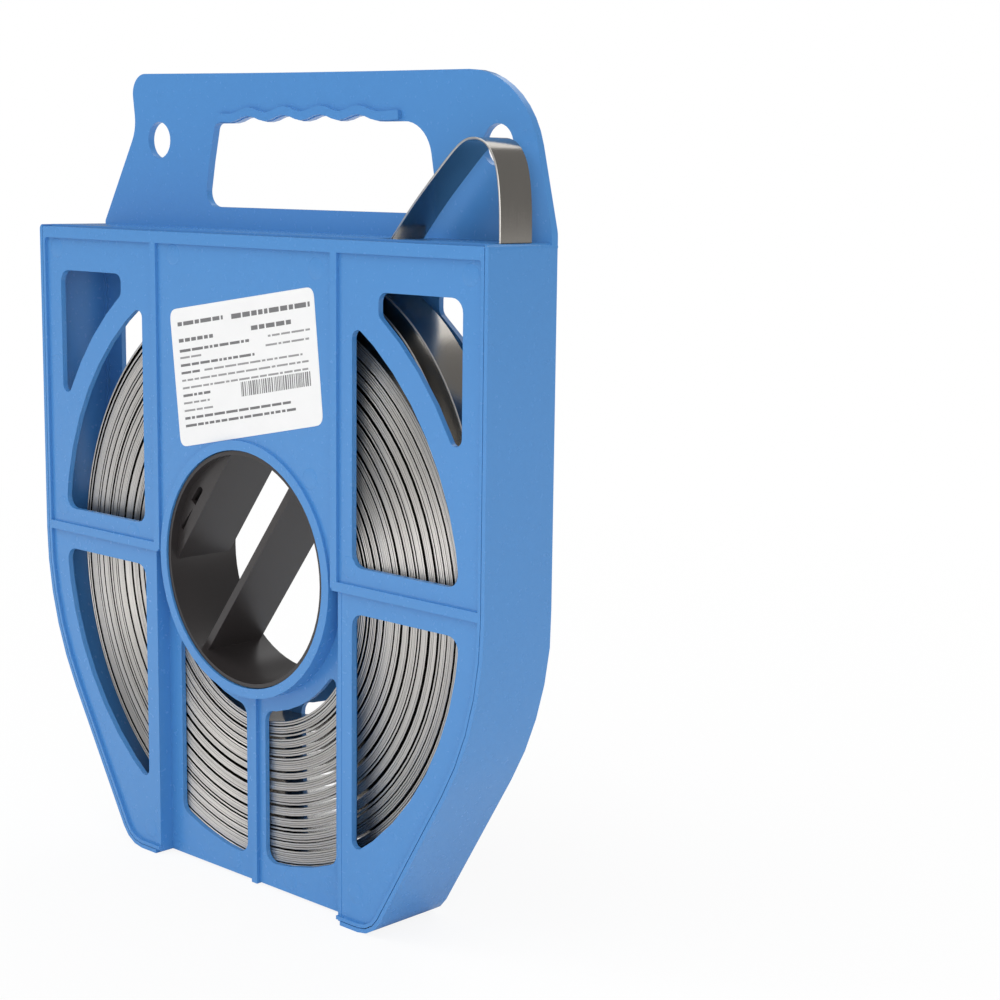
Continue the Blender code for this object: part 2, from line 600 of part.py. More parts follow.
def build_core(collection, scrap):
    """The black hub core: a flanged ring with a web through its middle and a chord plate."""
    inner = JOURNAL_RADIUS - CORE_WALL
    reach = -FRONT - CORE_RECESS
    drum = STRAP_WIDTH / 2
    profile = [(inner, reach), (JOURNAL_RADIUS, reach), (JOURNAL_RADIUS, drum), (DRUM_RADIUS, drum),
               (DRUM_RADIUS, -drum), (JOURNAL_RADIUS, -drum), (JOURNAL_RADIUS, -reach), (inner, -reach)]
    ring = turned("core", profile, scrap)
    ring.location = (0, 0, HUB_HEIGHT)
    ring = to_mesh(ring, scrap)
    seat = inner + CORE_WALL / 2
    web_depth = reach - WEB_RECESS
    web = web_plate("web", 0, WEB_THICKNESS, seat, web_depth, scrap)
    chord = web_plate("chord", CHORD_OFFSET, CHORD_THICKNESS, seat, web_depth, scrap)
    tilt = WEB_ANGLE + math.pi / 2
    rim_seat = seat + SEGMENT_SINK
    spread = math.acos(CHORD_OFFSET / rim_seat)
    loops = [arc((0, HUB_HEIGHT), rim_seat, tilt - spread, tilt + spread)]
    for cut in (SEGMENT_SLOT, SEGMENT_WEDGE):
        loops.append(filleted([along_web(c[0], CHORD_OFFSET + c[1]) + tuple(c[2:]) for c in cut]))
    segment_front = SEGMENT_STEP - web_depth
    segment = plate("segment", loops, segment_front, segment_front + CHORD_THICKNESS, scrap)
    core = join_all(ring, [web, chord, segment], scrap)
    return settle(core, "core", collection)


def build_coil(collection):
    """The wound strap as one turned solid, its turns cut as grooves into both ends."""
    half = STRAP_WIDTH / 2
    pitch = (COIL_OUTER_RADIUS - COIL_INNER_RADIUS) / GROOVE_COUNT
    top = []
    for i in range(GROOVE_COUNT):
        radius = COIL_INNER_RADIUS + pitch * i
        top += [(radius, half), (radius + pitch * GROOVE_SLOPE, half - GROOVE_DEPTH)]
    top[-1] = (COIL_OUTER_RADIUS, half)
    profile = top + [(radius, -height) for radius, height in reversed(top)]
    coil = turned("strap_coil", profile, collection)
    coil.location = (0, 0, COIL_CENTRE)
    return coil


def smooth_route(points, steps):
    """A smooth line through the points (Catmull-Rom)."""
    route = []
    last = len(points) - 1
    for i in range(last):
        p0, p1 = points[max(i - 1, 0)], points[i]
        p2, p3 = points[i + 1], points[min(i + 2, last)]
        for k in range(steps):
            t = k / steps
            route.append(tuple(
                0.5 * (2 * b + (c - a) * t + (2 * a - 5 * b + 4 * c - d) * t * t
                       + (3 * b - 3 * c + d - a) * t * t * t)
                for a, b, c, d in zip(p0, p1, p2, p3)))
    route.append(points[last])
    return route


def polar(radius, degrees):
    """A point about the middle of the coil."""
    angle = math.radians(degrees)
    return (radius * math.cos(angle), COIL_CENTRE + radius * math.sin(angle))


def strap_route():
    """The last turn and the free end: round the coil, up the side wall, over and into the slot."""
    wrap = COIL_OUTER_RADIUS + GAP + STRAP_THICKNESS / 2
    second = wrap + STRAP_THICKNESS + GAP
    loose = [polar(wrap + lift, angle) for angle, lift in LOOSE_TURN]
    turn = [polar(wrap, angle) for angle in range(*LAST_TURN)]
    lift = [polar(wrap + (second - wrap) * share, angle) for angle, share in LAST_LIFT]
    side = CASE_HALF_WIDTH - WALL
    leg = [(side - inset, COIL_CENTRE + height) for inset, height in STRAP_LEG_LOW]
    leg += [(side - inset, CASE_TOP + height) for inset, height in STRAP_LEG_HIGH + STRAP_LOOP]
    return smooth_route(loose + turn + lift + leg, ROUTE_STEPS)


def build_strap_end(collection):
    """The free length of strap, a thin ribbon of even thickness."""
    route = strap_route()
    curve = bpy.data.curves.new("strap_end", "CURVE")
    curve.dimensions = "2D"
    curve.fill_mode = "NONE"
    curve.extrude = STRAP_WIDTH / 2
    spline = curve.splines.new("POLY")
    spline.points.add(len(route) - 1)
    for point, (x, z) in zip(spline.points, route):
        point.co = (x, z, 0, 1)
    guide = bpy.data.objects.new("strap_end", curve)
    collection.objects.link(guide)
    guide.rotation_euler = (math.radians(90), 0, 0)
    ribbon = to_mesh(guide, collection)
    solid = ribbon.modifiers.new("thickness", "SOLIDIFY")
    solid.thickness = STRAP_THICKNESS
    solid.offset = 0
    solid.use_even_offset = True
    return ribbon


def settle(item, name, collection):
    """Move a finished piece into the object's collection under its own name."""
    for old in list(item.users_collection):
        old.objects.unlink(item)
    collection.objects.link(item)
    item.name = name
    item.data.name = name
    return item


def finish(item, material):
    item.data.materials.clear()
    item.data.materials.append(material)
    item.data.shade_smooth()
    item.data.set_sharp_from_angle(angle=SHARP_ANGLE)


def main():
    clear_scene()
    parts = make_collection("banding_strap")
    scrap = make_collection("cutters")
    blue = make_material("blue_plastic", BLUE, 0.32, 0.0)
    black = make_material("black_plastic", BLACK, 0.45, 0.0)
    steel = make_material("stainless_steel", STEEL, 0.28, 1.0)
    finish(build_carrier_front(parts, scrap), blue)
    finish(build_carrier_back(parts, scrap), blue)
    finish(build_core(parts, scrap), black)
    finish(build_coil(parts), steel)
    finish(build_strap_end(parts), steel)


main()
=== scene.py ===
"""Looks of the banding strap dispenser: moulded case, core, wound steel strap, label and studio.

Metres, +Z up, the front faces -Y. Outlines are drawn as seen from the front, in X and Z.
"""

import math

import bmesh
import bpy
import numpy as np
from bpy.props import FloatProperty, FloatVectorProperty, IntProperty, PointerProperty
from bpy.types import Operator, Panel, PropertyGroup
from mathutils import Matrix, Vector


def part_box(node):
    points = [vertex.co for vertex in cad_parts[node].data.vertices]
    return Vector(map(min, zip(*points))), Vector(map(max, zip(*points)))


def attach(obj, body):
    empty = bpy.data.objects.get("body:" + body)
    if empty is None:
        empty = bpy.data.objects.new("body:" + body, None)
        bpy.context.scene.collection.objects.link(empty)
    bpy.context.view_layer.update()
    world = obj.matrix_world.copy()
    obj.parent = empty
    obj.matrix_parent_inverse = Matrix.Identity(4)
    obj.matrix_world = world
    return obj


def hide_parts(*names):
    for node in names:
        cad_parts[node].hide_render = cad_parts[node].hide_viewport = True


bl_info = {
    "name": "Banding strap dispenser",
    "version": (1, 0, 0),
    "blender": (4, 5, 0),
    "location": "3D View > Sidebar > Strap",
    "description": "Dresses the frame of a banding strap dispenser with its finished pieces",
    "category": "Object",
}

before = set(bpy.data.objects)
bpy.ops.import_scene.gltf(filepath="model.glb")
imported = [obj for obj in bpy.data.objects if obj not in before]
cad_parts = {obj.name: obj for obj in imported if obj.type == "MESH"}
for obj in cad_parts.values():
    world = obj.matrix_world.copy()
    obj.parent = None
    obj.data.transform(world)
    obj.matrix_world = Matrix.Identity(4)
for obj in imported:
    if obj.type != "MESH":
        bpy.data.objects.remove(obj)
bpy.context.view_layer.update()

# Places that the solids give, and the planes and radii that they share with them
CASE_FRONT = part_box("carrier_front")[0][1]
CASE_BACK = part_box("carrier_back")[1][1]
CASE_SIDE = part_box("carrier_back")[1][0]
CASE_TOP = 0.253
PARTING = 0.0
PANEL_FACE = CASE_FRONT + 0.0012
SUNK_FLOOR = -0.01024
COIL_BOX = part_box("strap_coil")
COIL_CENTRE = 0.5 * (COIL_BOX[0][2] + COIL_BOX[1][2])
COIL_OUTER = 0.5 * (COIL_BOX[1][2] - COIL_BOX[0][2])
COIL_INNER = 0.053
STRAP_GAP = 0.0003

# Label corners on the panel, from the top left round to the top right, bottom right, bottom left
LABEL_CORNERS = ((-0.0430, 0.2230), (0.0406, 0.2360), (0.0459, 0.1865), (-0.0370, 0.1699))

# Rows of rules on the label: v of the middle, height, from u, to u, ink (0 dark, 1 pale)
LABEL_ROWS = (
    (0.115, 0.040, 0.05, 0.38, 0), (0.120, 0.050, 0.44, 0.97, 0), (0.225, 0.045, 0.57, 0.84, 0),
    (0.235, 0.036, 0.05, 0.30, 0), (0.310, 0.028, 0.05, 0.55, 0), (0.300, 0.020, 0.68, 0.96, 1),
    (0.360, 0.020, 0.05, 0.22, 1), (0.365, 0.020, 0.66, 0.95, 1), (0.415, 0.026, 0.05, 0.58, 0),
    (0.470, 0.024, 0.05, 0.20, 0), (0.470, 0.020, 0.22, 0.90, 1), (0.525, 0.020, 0.05, 0.95, 1),
    (0.580, 0.020, 0.05, 0.93, 1), (0.635, 0.026, 0.05, 0.26, 0), (0.690, 0.020, 0.05, 0.24, 1),
    (0.745, 0.020, 0.05, 0.26, 1), (0.800, 0.026, 0.05, 0.80, 0), (0.855, 0.026, 0.05, 0.83, 0),
)

# Rules on the label: height as a share of the row's, words and bars with their gaps as shares of the
# label's width (the least and what chance adds), and the bars' ends as shares of its sides
RULE_HEIGHT = 0.72
WORD_WIDTH = (0.018, 0.065)
WORD_GAP = 0.010
BAR_WIDTH = (0.0030, 0.0070)
BAR_GAP = (0.0030, 0.0060)
BARS_FROM, BARS_TO = 0.47, 0.94
BARS_TOP, BARS_BOTTOM = 0.600, 0.705
INK_DEPTH = 0.00002
LABEL_BITE = 0.00001

# Round marks of the mould's ejector pins: x, z
PANEL_PINS = ((-0.1182, 0.2443), (-0.0407, 0.2445), (0.0420, 0.2425), (0.1190, 0.2435),
              (0.0385, 0.1659), (0.0592, 0.1362), (-0.1170, 0.1371), (-0.0690, 0.1315),
              (-0.0605, 0.0096), (0.0629, 0.0142))
FLOOR_PINS = ((-0.0136, 0.0066), (0.0197, 0.0064))

# Section of an ejector mark from its flat middle outwards: share of the radius, share of the height
PIN_RINGS = ((0.90, 1.0), (0.96, 0.7), (1.0, -0.2))
PIN_STEPS = 28

# Turns that have sprung off the coil, each over the one before: from, to (degrees), bulge
LOOSE_TURNS = ((9.0, 111.0, 0.0045), (11.0, 106.0, 0.0036), (14.0, 101.0, 0.0034))
LOOSE_TURN_ROOM = 0.00012
LOOSE_TURN_STEPS = 48

# Winding of the coil: steps to a turn, chamfer as a share of the thickness, which of the eight sides
# of the strap's section are rolled face (0) or slit edge (1), and how the turns sag on the core
COIL_STEPS = 96
EDGE_CHAMFER = 0.30
FACE_OR_EDGE = np.array([0, 1, 1, 1, 0, 1, 1, 1])
SAG_TOP = math.radians(110)
SAG_SPREAD = 0.05
FIRST_TURN_SAG = 0.0015

# Gaps between turns, in parts of one scale that fits the coil into its room: the least gap and how
# much it wanders, then for the wider gaps their least size, spread and step with what chance adds
GAP_LEAST, GAP_WANDER = 0.02, 0.05
BUNCH_START = 0.4
BUNCH_SIZE = (0.6, 1.6)
BUNCH_SPREAD = (0.34, 0.30)
BUNCH_STEP = (0.35, 1.3)

# Knots to a turn of the wandering gap and of the stray edges
GAP_KNOTS = 2.5
STRAY_KNOTS = 1.3

# Seeds of the random draws
BUNCH_SEED = 7
GAP_SEED = 11
STRAY_SEED = 23
WORD_SEED = 5

# Tolerances: corners closer than WELD are one, points closer than ON_PLANE to a plane lie on it
WELD = 0.000002
ON_PLANE = 0.00002
LEAST_FOLD = math.radians(28)
SHARP_FOLD = math.radians(30)

# Softboxes: name, place, width and height, power in watts; all aim at one spot
SOFTBOXES = (
    ("key_light", (-0.7, -1.6, 1.5), (1.4, 1.4), 4.5),
    ("front_light", (1.2, -1.25, 0.35), (1.0, 0.8), 6.0),
    ("edge_light", (-1.4, -1.1, 1.7), (0.8, 1.2), 6.5),
    ("side_light", (2.0, -0.9, 0.9), (1.0, 1.4), 4.0),
    ("top_light", (0.0, -0.7, 2.0), (1.6, 0.8), 8.0),
    ("back_light", (-0.4, 1.8, 1.3), (1.4, 1.4), 9.0),
)
LIGHT_TARGET = (0.0, 0.0, 0.16)

# Share of plain white that the camera sees in the floor at the part; it reaches 1 a metre away
NEAR_GLOW = 0.88


# Settings

class StrapCaseSettings(PropertyGroup):
    edge_round: FloatProperty(
        name="Edge round", description="Round on the outer edges of the moulding",
        default=0.00035, min=0.0, unit="LENGTH")
    crest_round: FloatProperty(
        name="Crest round", description="Round on the crests of the rim, the ribs and the hub ring",
        default=0.0010, min=0.0, unit="LENGTH")
    side_draft: FloatProperty(
        name="Side draft", description="How far the side wall leans in behind its parting line",
        default=0.00035, min=0.0, unit="LENGTH")
    blue: FloatVectorProperty(
        name="Blue", description="Colour of the moulded case",
        default=(0.070, 0.250, 0.575), min=0.0, max=1.0, subtype="COLOR")
    gloss: FloatProperty(
        name="Roughness", description="Roughness of the moulded case",
        default=0.27, min=0.0, max=1.0, subtype="FACTOR")
    pin_radius: FloatProperty(
        name="Pin mark radius", description="Radius of an ejector mark",
        default=0.0040, min=0.0, unit="LENGTH")
    pin_height: FloatProperty(
        name="Pin mark height", description="How far an ejector mark stands off the panel",
        default=0.00009, min=0.0, unit="LENGTH")


class StrapCoreSettings(PropertyGroup):
    edge_round: FloatProperty(
        name="Edge round", description="Round on the edges of the core",
        default=0.0003, min=0.0, unit="LENGTH")
    black: FloatVectorProperty(
        name="Black", description="Colour of the core",
        default=(0.031, 0.027, 0.027), min=0.0, max=1.0, subtype="COLOR")
    gloss: FloatProperty(
        name="Roughness", description="Roughness of the core",
        default=0.33, min=0.0, max=1.0, subtype="FACTOR")


class StrapSteelSettings(PropertyGroup):
    width: FloatProperty(
        name="Strap width", description="Width of the steel strap",
        default=0.015875, min=0.001, unit="LENGTH")
    thickness: FloatProperty(
        name="Strap thickness", description="Thickness of the steel strap",
        default=0.00076, min=0.0001, unit="LENGTH")
    turns: IntProperty(
        name="Turns", description="Turns of strap on the coil",
        default=54, min=1)
    bunch: FloatProperty(
        name="Bunch", description="Turns that lie tight together between two wider gaps",
        default=4.2, min=1.5)
    stray: FloatProperty(
        name="Stray", description="How far a turn's edge stands out of line with the others",
        default=0.00015, min=0.0, unit="LENGTH")
    steel: FloatVectorProperty(
        name="Steel", description="Colour of the rolled face of the strap",
        default=(0.430, 0.405, 0.370), min=0.0, max=1.0, subtype="COLOR")
    cut_edge: FloatVectorProperty(
        name="Cut edge", description="Colour of the slit edge of the strap",
        default=(0.600, 0.578, 0.550), min=0.0, max=1.0, subtype="COLOR")


class StrapLabelSettings(PropertyGroup):
    thickness: FloatProperty(
        name="Label thickness", description="Thickness of the paper label",
        default=0.00012, min=0.00001, unit="LENGTH")
    corner: FloatProperty(
        name="Label corner", description="Radius of the label's corners",
        default=0.0040, min=0.0, unit="LENGTH")
    paper: FloatVectorProperty(
        name="Paper", description="Colour of the label's paper",
        default=(0.850, 0.850, 0.850), min=0.0, max=1.0, subtype="COLOR")
    ink: FloatVectorProperty(
        name="Ink", description="Colour of the label's rules",
        default=(0.170, 0.170, 0.175), min=0.0, max=1.0, subtype="COLOR")


class StrapStageSettings(PropertyGroup):
    floor_colour: FloatVectorProperty(
        name="Floor", description="Colour of the floor",
        default=(0.95, 0.95, 0.95), min=0.0, max=1.0, subtype="COLOR")
    floor_radius: FloatProperty(
        name="Floor radius", description="Radius of the round floor",
        default=9.0, min=1.0, unit="LENGTH")
    world_light: FloatProperty(
        name="World light", description="Strength of the even light from all round",
        default=0.62, min=0.0)
    world_sheen: FloatProperty(
        name="World sheen", description="Brightness of the surroundings as glossy surfaces reflect them",
        default=0.26, min=0.0)
    camera_place: FloatVectorProperty(
        name="Camera place", description="Where the camera stands",
        default=(0.57656, -0.49074, 0.27652), subtype="TRANSLATION", unit="LENGTH")
    camera_turn: FloatVectorProperty(
        name="Camera turn", description="How the camera is turned",
        default=(math.radians(80.660), math.radians(-0.735), math.radians(43.150)),
        subtype="EULER", unit="ROTATION")
    focal_length: FloatProperty(
        name="Focal length", description="Focal length on a sensor 36 mm wide",
        default=71.311, min=1.0)


SETTINGS = {
    "strap_case": StrapCaseSettings,
    "strap_core": StrapCoreSettings,
    "strap_steel": StrapSteelSettings,
    "strap_label": StrapLabelSettings,
    "strap_stage": StrapStageSettings,
}


# Shader node groups

GROUP_OUTPUTS = (("Colour", "NodeSocketColor"), ("Roughness", "NodeSocketFloat"),
                 ("Normal", "NodeSocketVector"))


def new_group(name, inputs):
    """An empty node group with its outputs; inputs are (name, kind, default)."""
    group = bpy.data.node_groups.new(name, "ShaderNodeTree")
    for label, kind, default in inputs:
        socket = group.interface.new_socket(label, in_out="INPUT", socket_type=kind)
        socket.default_value = default
    for label, kind in GROUP_OUTPUTS:
        group.interface.new_socket(label, in_out="OUTPUT", socket_type=kind)
    return group, group.nodes.new("NodeGroupInput"), group.nodes.new("NodeGroupOutput")


def add_node(tree, kind, **values):
    node = tree.nodes.new(kind)
    for key, value in values.items():
        setattr(node, key, value)
    return node


def feed(tree, value, socket):
    """Set a socket to a number, or link another socket to it."""
    if isinstance(value, (int, float)):
        socket.default_value = value
    else:
        tree.links.new(value, socket)


def math_node(tree, operation, a, b):
    node = add_node(tree, "ShaderNodeMath", operation=operation)
    feed(tree, a, node.inputs[0])
    feed(tree, b, node.inputs[1])
    return node.outputs[0]


def ranged(tree, value, low, high):
    """value, from 0 to 1, brought into the range from low to high."""
    node = add_node(tree, "ShaderNodeMapRange")
    feed(tree, value, node.inputs["Value"])
    feed(tree, low, node.inputs["To Min"])
    feed(tree, high, node.inputs["To Max"])
    return node.outputs[0]


def about_one(tree, value, spread):
    """value, from 0 to 1, brought into the range from 1 - spread to 1 + spread."""
    low = math_node(tree, "SUBTRACT", 1.0, spread)
    high = math_node(tree, "ADD", 1.0, spread)
    return ranged(tree, value, low, high)


def noise(tree, vector, scale, detail):
    node = add_node(tree, "ShaderNodeTexNoise")
    tree.links.new(vector, node.inputs["Vector"])
    feed(tree, scale, node.inputs["Scale"])
    node.inputs["Detail"].default_value = detail
    return node.outputs["Fac"]


def put_out(group, given, out, value, uneven, spread, height, strength, distance):
    """Put out the colour times value, the roughness give or take spread, and a bumped normal."""
    shade = add_node(group, "ShaderNodeHueSaturation")
    group.links.new(given.outputs["Colour"], shade.inputs["Color"])
    group.links.new(value, shade.inputs["Value"])
    group.links.new(shade.outputs["Color"], out.inputs["Colour"])
    rough = ranged(group, uneven, -spread, spread)
    rough = math_node(group, "ADD", given.outputs["Roughness"], rough)
    group.links.new(rough, out.inputs["Roughness"])
    bump = add_node(group, "ShaderNodeBump")
    bump.inputs["Distance"].default_value = distance
    feed(group, strength, bump.inputs["Strength"])
    group.links.new(height, bump.inputs["Height"])
    group.links.new(bump.outputs["Normal"], out.inputs["Normal"])


def build_moulded_group():
    """Moulded plastic: slow flow shading, fine grain and slightly uneven gloss."""
    group, given, out = new_group("moulded_plastic", [
        ("Colour", "NodeSocketColor", (0.5, 0.5, 0.5, 1.0)),
        ("Roughness", "NodeSocketFloat", 0.4),
        ("Flow", "NodeSocketFloat", 0.06),
        ("Grain scale", "NodeSocketFloat", 2400.0),
        ("Grain depth", "NodeSocketFloat", 0.15),
    ])
    place = add_node(group, "ShaderNodeTexCoord").outputs["Object"]
    flow = noise(group, place, 14.0, 3.0)
    fleck = noise(group, place, 420.0, 2.0)
    grain = noise(group, place, given.outputs["Grain scale"], 1.0)
    slow = math_node(group, "MULTIPLY", flow, 0.75)
    quick = math_node(group, "MULTIPLY", fleck, 0.25)
    mixed = math_node(group, "ADD", slow, quick)
    put_out(group, given, out, about_one(group, mixed, given.outputs["Flow"]), fleck, 0.012,
            grain, given.outputs["Grain depth"], 0.00004)
    return group


def build_rolled_group():
    """Rolled steel: streaks along the strap, slow bands of tone and a fine brushed relief."""
    group, given, out = new_group("rolled_steel", [
        ("Colour", "NodeSocketColor", (0.6, 0.6, 0.6, 1.0)),
        ("Roughness", "NodeSocketFloat", 0.25),
        ("Streak", "NodeSocketFloat", 0.12),
        ("Band", "NodeSocketFloat", 0.15),
        ("Relief", "NodeSocketFloat", 0.2),
    ])
    along = add_node(group, "ShaderNodeUVMap", uv_map="along_strap").outputs["UV"]
    fine = add_node(group, "ShaderNodeMapping")
    fine.inputs["Scale"].default_value = (60.0, 6000.0, 1.0)
    group.links.new(along, fine.inputs["Vector"])
    slow = add_node(group, "ShaderNodeMapping")
    slow.inputs["Scale"].default_value = (9.0, 40.0, 1.0)
    group.links.new(along, slow.inputs["Vector"])
    streak = noise(group, fine.outputs["Vector"], 1.0, 3.0)
    band = noise(group, slow.outputs["Vector"], 1.0, 2.0)
    streaked = about_one(group, streak, given.outputs["Streak"])
    banded = about_one(group, band, given.outputs["Band"])
    put_out(group, given, out, math_node(group, "MULTIPLY", streaked, banded), streak, 0.06,
            streak, given.outputs["Relief"], 0.00002)
    return group


def build_paper_group():
    """Coated paper: a faint fibre mottle in its colour and a fine tooth."""
    group, given, out = new_group("coated_paper", [
        ("Colour", "NodeSocketColor", (0.8, 0.8, 0.8, 1.0)),
        ("Roughness", "NodeSocketFloat", 0.5),
        ("Mottle", "NodeSocketFloat", 0.03),
    ])
    place = add_node(group, "ShaderNodeTexCoord").outputs["Object"]
    fibre = noise(group, place, 900.0, 3.0)
    cloud = noise(group, place, 60.0, 2.0)
    put_out(group, given, out, about_one(group, cloud, given.outputs["Mottle"]), cloud, 0.04,
            fibre, 0.1, 0.00002)
    return group


def node_group(name, build):
    """The node group of that name, built the first time it is asked for."""
    return bpy.data.node_groups.get(name) or build()


def grouped_material(name, group, colour, metallic=0.0, **values):
    """A Principled material whose colour, roughness and normal come from a node group."""
    material = bpy.data.materials.new(name)
    material.use_nodes = True
    tree = material.node_tree
    shader = tree.nodes["Principled BSDF"]
    shader.inputs["Metallic"].default_value = metallic
    node = add_node(tree, "ShaderNodeGroup")
    node.node_tree = group
    node.inputs["Colour"].default_value = tuple(colour) + (1.0,)
    for key, value in values.items():
        node.inputs[key.replace("_", " ").capitalize()].default_value = value
    tree.links.new(node.outputs["Colour"], shader.inputs["Base Color"])
    tree.links.new(node.outputs["Roughness"], shader.inputs["Roughness"])
    tree.links.new(node.outputs["Normal"], shader.inputs["Normal"])
    return material


def paper_material(name, colour, roughness):
    return grouped_material(name, node_group("coated_paper", build_paper_group), colour,
                            roughness=roughness, mottle=0.03)


# Mesh tools

def link_piece(name, mesh, body, replaces=()):
    """Put a finished mesh into the scene as a piece that rides on a body."""
    piece = bpy.data.objects.new(name, mesh)
    bpy.context.scene.collection.objects.link(piece)
    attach(piece, body)
    if replaces:
        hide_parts(*replaces)
    return piece


def welded_shell(node):
    """The solid of a node with its split corners welded."""
    shell = bmesh.new()
    shell.from_mesh(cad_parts[node].data)
    bmesh.ops.remove_doubles(shell, verts=shell.verts, dist=WELD)
    return shell


def weigh_edges(shell, rule):
    """Give each folded edge the bevel weight that rule(edge, convex) says."""
    layer = shell.edges.layers.float.new("bevel_weight_edge")
    for edge in shell.edges:
        if len(edge.link_faces) != 2 or edge.calc_face_angle(0.0) < LEAST_FOLD:
            continue
        edge[layer] = rule(edge, edge.is_convex)


def shell_mesh(shell, name, material):
    mesh = bpy.data.meshes.new(name)
    shell.normal_update()
    shell.to_mesh(mesh)
    shell.free()
    mesh.materials.append(material)
    return mesh


def round_edges(piece, width, segments=2):
    """Round the weighted edges and shade the piece smoothly, with its flat faces kept flat."""
    piece.data.shade_smooth()
    bevel = piece.modifiers.new("edge_round", "BEVEL")
    bevel.limit_method = "WEIGHT"
    bevel.width = width
    bevel.segments = segments
    bevel.use_clamp_overlap = True
    bevel.miter_outer = "MITER_ARC"
    weigh = piece.modifiers.new("flat_faces", "WEIGHTED_NORMAL")
    weigh.mode = "FACE_AREA"
    weigh.weight = 80


def ribbon_mesh(name, path, thickness, width, lateral, materials):
    """A flat strap along path (x, z), its edges slightly rounded, with its length as UV."""
    path = np.asarray(path, dtype=float)
    lateral = np.asarray(lateral, dtype=float)
    count = len(path)
    steps = np.diff(path, axis=0)
    lengths = np.concatenate([[0.0], np.cumsum(np.hypot(steps[:, 0], steps[:, 1]))])
    tangent = np.gradient(path, axis=0)
    tangent /= np.hypot(tangent[:, 0], tangent[:, 1])[:, None]
    normal = np.stack([tangent[:, 1], -tangent[:, 0]], axis=1)
    face, side, cut = thickness / 2, width / 2, thickness * EDGE_CHAMFER
    section = [(face, -side + cut), (face, side - cut), (face - cut, side), (-face + cut, side),
               (-face, side - cut), (-face, -side + cut), (-face + cut, -side), (face - cut, -side)]
    ring = len(section)
    corners = np.zeros((count, ring, 3))
    for j, (off, across) in enumerate(section):
        corners[:, j, 0] = path[:, 0] + normal[:, 0] * off
        corners[:, j, 1] = lateral + across
        corners[:, j, 2] = path[:, 1] + normal[:, 1] * off
    i = np.arange(count - 1)[:, None] * ring
    j = np.arange(ring)[None, :]
    k = (j + 1) % ring
    quads = np.stack([i + j, i + k, i + ring + k, i + ring + j], axis=2).reshape(-1, 4)
    faces = [tuple(quad) for quad in quads.tolist()]
    faces.append(tuple(reversed(range(ring))))
    faces.append(tuple(range((count - 1) * ring, count * ring)))
    mesh = bpy.data.meshes.new(name)
    mesh.from_pydata(corners.reshape(-1, 3).tolist(), [], faces)
    edge_lengths = [math.dist(section[a], section[(a + 1) % ring]) for a in range(ring)]
    around = np.concatenate([[0.0], np.cumsum(edge_lengths)])
    layer = mesh.uv_layers.new(name="along_strap")
    u0 = np.repeat(lengths[:-1], ring)
    u1 = np.repeat(lengths[1:], ring)
    v0 = np.tile(around[:-1], count - 1)
    v1 = np.tile(around[1:], count - 1)
    uv = np.stack([u0, v0, u0, v1, u1, v1, u1, v0], axis=1).reshape(-1)
    uv = np.concatenate([uv, np.zeros(ring * 4)])
    layer.data.foreach_set("uv", uv)
    for material in materials:
        mesh.materials.append(material)
    index = np.tile(FACE_OR_EDGE, count - 1)
    index = np.concatenate([index, [1, 1]]).astype(np.int32)
    mesh.polygons.foreach_set("material_index", index)
    shell = bmesh.new()
    shell.from_mesh(mesh)
    bmesh.ops.recalc_face_normals(shell, faces=shell.faces)
    shell.to_mesh(mesh)
    shell.free()
    mesh.shade_smooth()
    mesh.set_sharp_from_angle(angle=SHARP_FOLD)
    return mesh


def drawn(random, reach):
    """The least value of reach with a random share of its second value on top."""
    return reach[0] + reach[1] * random.rand()


def wavy(count, length, knots_per_unit, seed):
    """Smooth noise from 0 to 1, sampled at count places along length."""
    random = np.random.RandomState(seed)
    knots = random.rand(int(length * knots_per_unit) + 3)
    place = np.linspace(0, length * knots_per_unit, count)
    low = np.floor(place).astype(int)
    t = place - low
    t = t * t * (3 - 2 * t)
    return knots[low] * (1 - t) + knots[low + 1] * t


def wound_radii(turns, steps, inner, outer, thickness, bunch):
    """Radius of the strap's middle along the coil: tight bunches with wider gaps between them."""
    count = turns * steps + 1
    along = np.arange(count) / steps
    random = np.random.RandomState(BUNCH_SEED)
    gap = GAP_LEAST + GAP_WANDER * wavy(count, turns, GAP_KNOTS, GAP_SEED)
    centre = bunch * BUNCH_START
    while centre < turns:
        size = drawn(random, BUNCH_SIZE)
        spread = drawn(random, BUNCH_SPREAD)
        gap += size * np.exp(-0.5 * ((along - centre) / spread) ** 2)
        centre += bunch * drawn(random, BUNCH_STEP)
    sag = np.cos(2 * math.pi * along - SAG_TOP)
    gap *= 1 + SAG_SPREAD * sag
    first = inner + thickness / 2 + FIRST_TURN_SAG * (1 - sag[:steps]) / 2
    last = outer - thickness / 2

    def wind(scale):
        radii = np.zeros(count)
        start = thickness + scale * gap[0]
        radii[:steps] = first + start * along[:steps]
        for i in range(steps, count):
            radii[i] = radii[i - steps] + thickness + scale * gap[i - steps]
        return radii

    plain = wind(0.0)[-steps:].mean()
    spaced = wind(0.001)[-steps:].mean()
    scale = 0.001 * (last - plain - thickness / 2) / (spaced - plain)
    return np.minimum(wind(scale), last)


def label_point(u, v):
    """A place on the label, u from left to right and v from top to bottom."""
    (ax, az), (bx, bz), (cx, cz), (dx, dz) = LABEL_CORNERS
    top = (ax + (bx - ax) * u, az + (bz - az) * u)
    bottom = (dx + (cx - dx) * u, dz + (cz - dz) * u)
    return (top[0] + (bottom[0] - top[0]) * v, top[1] + (bottom[1] - top[1]) * v)


